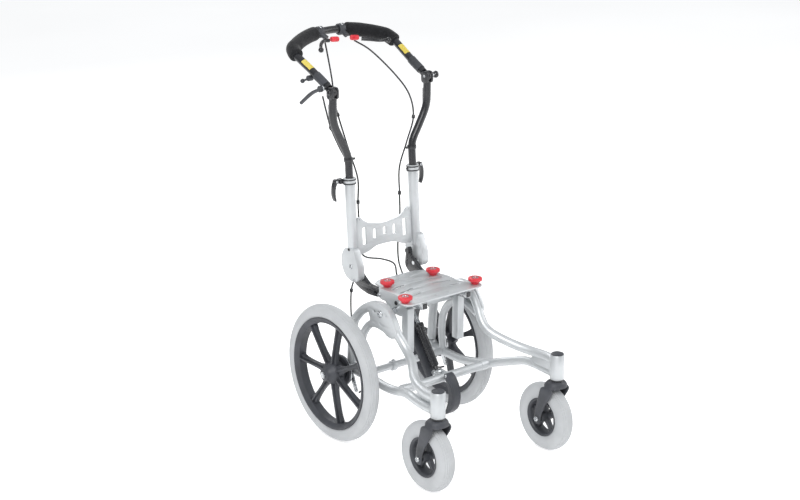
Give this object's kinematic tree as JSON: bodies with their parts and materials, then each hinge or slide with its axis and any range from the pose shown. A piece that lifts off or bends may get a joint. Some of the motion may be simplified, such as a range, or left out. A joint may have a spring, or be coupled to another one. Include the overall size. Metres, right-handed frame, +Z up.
{
  "type": "mobility base chassis",
  "caption": "Attendant-pushed mobility base: large rear wheels, swivelling casters, tilting seat carrier, reclining telescopic back and hinged push handle with brake levers.",
  "frame": {"origin": "floor level, midway between the side frames and midway along the overall length", "axes": "+X towards the rider's left, -Y the travel direction with the casters in front, +Z up"},
  "size_m": [0.512, 0.8298, 1.1339],
  "materials": {
    "silver_aluminium": "satin silver",
    "bright_steel": "bright plated",
    "grey_tyre": "non-marking light grey",
    "foam_grip": "matt foam",
    "red_plastic": "satin red",
    "black_paint": "satin black powder coat",
    "cable_jacket": "smooth vinyl",
    "black_plastic": "moulded"
  },
  "bodies": {
    "chassis": {"side_frame_left": "silver_aluminium", "side_frame_right": "silver_aluminium", "front_cross_tube": "silver_aluminium", "rear_cross_tube": "silver_aluminium", "kerb_skid": "black_plastic", "tilt_axle": "bright_steel", "brake_plate_left": "black_plastic", "brake_plate_right": "black_plastic", "rear_axle_left": "bright_steel", "rear_axle_right": "bright_steel"},
    "rear_wheel_left": {"rear_tyre_left": "grey_tyre", "rear_rim_left": "black_plastic"},
    "rear_wheel_right": {"rear_tyre_right": "grey_tyre", "rear_rim_right": "black_plastic"},
    "brake_arm_left": {"brake_arm_left": "bright_steel"},
    "brake_arm_right": {"brake_arm_right": "bright_steel"},
    "caster_fork_left": {"caster_fork_left": "black_plastic", "caster_axle_left": "bright_steel"},
    "caster_fork_right": {"caster_fork_right": "black_plastic", "caster_axle_right": "bright_steel"},
    "caster_wheel_left": {"caster_tyre_left": "grey_tyre", "caster_rim_left": "black_plastic"},
    "caster_wheel_right": {"caster_tyre_right": "grey_tyre", "caster_rim_right": "black_plastic"},
    "seat": {"seat_plate": "silver_aluminium", "seat_rail_left": "bright_steel", "seat_rail_right": "bright_steel", "tilt_bracket": "silver_aluminium", "back_arm_left": "black_paint", "back_arm_right": "black_paint"},
    "knob_rear_left": {"lock_knob_rear_left": "red_plastic"},
    "knob_rear_right": {"lock_knob_rear_right": "red_plastic"},
    "knob_front_left": {"lock_knob_front_left": "red_plastic"},
    "knob_front_right": {"lock_knob_front_right": "red_plastic"},
    "gas_spring_body": {"gas_spring_cylinder": "black_paint"},
    "gas_spring_rod": {"gas_spring_rod": "bright_steel", "strut_cover": "black_plastic"},
    "backrest": {"back_post_left": "silver_aluminium", "back_post_right": "silver_aluminium", "back_crossbar": "silver_aluminium", "clamp_collar_left": "silver_aluminium", "clamp_collar_right": "silver_aluminium", "brake_cable_left": "cable_jacket", "brake_cable_right": "cable_jacket", "tilt_cable": "cable_jacket"},
    "clamp_lever_left": {"clamp_lever_left": "black_paint"},
    "clamp_lever_right": {"clamp_lever_right": "black_paint"},
    "uprights": {"upright_left": "black_paint", "upright_right": "black_paint"},
    "handle": {"handlebar": "black_paint", "grip_left": "foam_grip", "grip_right": "foam_grip", "brake_lever_body_left": "black_plastic", "brake_lever_body_right": "black_plastic"},
    "brake_lever_left": {"brake_lever_left": "black_paint"},
    "brake_lever_right": {"brake_lever_right": "black_paint"},
    "lever_lock_left": {"lever_lock_left": "red_plastic"},
    "lever_lock_right": {"lever_lock_right": "red_plastic"},
    "tilt_lever": {"tilt_lever": "bright_steel"},
    "release_lever": {"release_lever": "black_plastic"}
  },
  "joints": [
    {"name": "rear_spin_left", "type": "hinge", "parent": "chassis", "child": "rear_wheel_left", "pos_m": [0.21, 0.11556, 0.2], "axis": [1, 0, 0], "continuous": true},
    {"name": "rear_spin_right", "type": "hinge", "parent": "chassis", "child": "rear_wheel_right", "pos_m": [-0.21, 0.11556, 0.2], "axis": [1, 0, 0], "continuous": true},
    {"name": "caster_swivel_left", "type": "hinge", "parent": "chassis", "child": "caster_fork_left", "pos_m": [0.215, -0.35644, 0.26], "axis": [0, 0, 1], "continuous": true},
    {"name": "caster_swivel_right", "type": "hinge", "parent": "chassis", "child": "caster_fork_right", "pos_m": [-0.215, -0.35644, 0.26], "axis": [0, 0, 1], "continuous": true},
    {"name": "caster_spin_left", "type": "hinge", "parent": "caster_fork_left", "child": "caster_wheel_left", "pos_m": [0.215, -0.31644, 0.0985], "axis": [1, 0, 0], "continuous": true},
    {"name": "caster_spin_right", "type": "hinge", "parent": "caster_fork_right", "child": "caster_wheel_right", "pos_m": [-0.215, -0.31644, 0.0985], "axis": [1, 0, 0], "continuous": true},
    {"name": "seat_tilt", "type": "hinge", "parent": "chassis", "child": "seat", "pos_m": [0, -0.04044, 0.411], "axis": [-1, 0, 0], "range_deg": [0, 30]},
    {"name": "gas_spring_swing", "type": "hinge", "parent": "chassis", "child": "gas_spring_body", "pos_m": [0, -0.09644, 0.214], "axis": [-1, 0, 0], "range_deg": [-0.5, 3]},
    {"name": "gas_spring_stroke", "type": "slide", "parent": "gas_spring_body", "child": "gas_spring_rod", "axis": [0, 0.585, 0.811], "range_m": [-0.041, 0.001]},
    {"name": "back_recline", "type": "hinge", "parent": "seat", "child": "backrest", "pos_m": [0, 0.12556, 0.463], "axis": [-1, 0, 0], "range_deg": [-10, 30]},
    {"name": "handle_height", "type": "slide", "parent": "backrest", "child": "uprights", "axis": [0, 0.0676, 0.9977], "range_m": [-0.045, 0.1], "deforming": ["brake_cable_left", "brake_cable_right", "tilt_cable"]},
    {"name": "handle_angle", "type": "hinge", "parent": "uprights", "child": "handle", "pos_m": [0, 0.15956, 1], "axis": [1, 0, 0], "range_deg": [-40, 60]},
    {"name": "clamp_lever_left", "type": "hinge", "parent": "backrest", "child": "clamp_lever_left", "pos_m": [0.1505, 0.17302, 0.74], "axis": [0, -1, 0], "range_deg": [0, 150]},
    {"name": "clamp_lever_right", "type": "hinge", "parent": "backrest", "child": "clamp_lever_right", "pos_m": [-0.1505, 0.17302, 0.74], "axis": [0, 1, 0], "range_deg": [0, 150]},
    {"name": "knob_rear_left", "type": "hinge", "parent": "seat", "child": "knob_rear_left", "pos_m": [0.083, 0.02656, 0.465], "axis": [0, 0, 1], "continuous": true},
    {"name": "knob_rear_right", "type": "hinge", "parent": "seat", "child": "knob_rear_right", "pos_m": [-0.083, 0.02656, 0.465], "axis": [0, 0, 1], "continuous": true},
    {"name": "knob_front_left", "type": "hinge", "parent": "seat", "child": "knob_front_left", "pos_m": [0.126, -0.10744, 0.465], "axis": [0, 0, 1], "continuous": true},
    {"name": "knob_front_right", "type": "hinge", "parent": "seat", "child": "knob_front_right", "pos_m": [-0.126, -0.10744, 0.465], "axis": [0, 0, 1], "continuous": true},
    {"name": "brake_lever_left", "type": "hinge", "parent": "handle", "child": "brake_lever_left", "pos_m": [0.074, 0.34518, 1.08933], "axis": [0, -0.4337, 0.9011], "range_deg": [0, 15], "stiffness_Nm_per_rad": 0.6, "springref_deg": -8.59},
    {"name": "brake_lever_right", "type": "hinge", "parent": "handle", "child": "brake_lever_right", "pos_m": [-0.032, 0.3578, 1.0954], "axis": [0, 0.4337, -0.9011], "range_deg": [0, 15], "stiffness_Nm_per_rad": 0.6, "springref_deg": -8.59},
    {"name": "lever_lock_left", "type": "hinge", "parent": "handle", "child": "lever_lock_left", "pos_m": [0.056, 0.35419, 1.09367], "axis": [0, -0.4337, 0.9011], "range_deg": [0, 10]},
    {"name": "lever_lock_right", "type": "hinge", "parent": "handle", "child": "lever_lock_right", "pos_m": [-0.011, 0.3596, 1.09627], "axis": [0, -0.4337, 0.9011], "range_deg": [0, 10]},
    {"name": "brake_arm_left", "type": "hinge", "parent": "chassis", "child": "brake_arm_left", "pos_m": [0.167, 0.08556, 0.188], "axis": [1, 0, 0], "range_deg": [0, 12]},
    {"name": "brake_arm_right", "type": "hinge", "parent": "chassis", "child": "brake_arm_right", "pos_m": [-0.167, 0.08556, 0.188], "axis": [1, 0, 0], "range_deg": [0, 12]},
    {"name": "tilt_lever", "type": "hinge", "parent": "handle", "child": "tilt_lever", "pos_m": [-0.1943, 0.17939, 1.00954], "axis": [1, 0, 0], "range_deg": [0, 20], "stiffness_Nm_per_rad": 1.2, "springref_deg": -17.19},
    {"name": "release_lever", "type": "hinge", "parent": "handle", "child": "release_lever", "pos_m": [-0.175, 0.25444, 1.02424], "axis": [1, 0, 0], "range_deg": [0, 30]}
  ],
  "couplings": [
    {"joint": "gas_spring_swing", "follows": "seat_tilt", "ratio": 0.074},
    {"joint": "gas_spring_stroke", "follows": "seat_tilt", "m_per_rad": -0.0749},
    {"joint": "brake_arm_left", "follows": "brake_lever_left", "ratio": 0.75},
    {"joint": "brake_arm_right", "follows": "brake_lever_right", "ratio": 0.75}
  ]
}
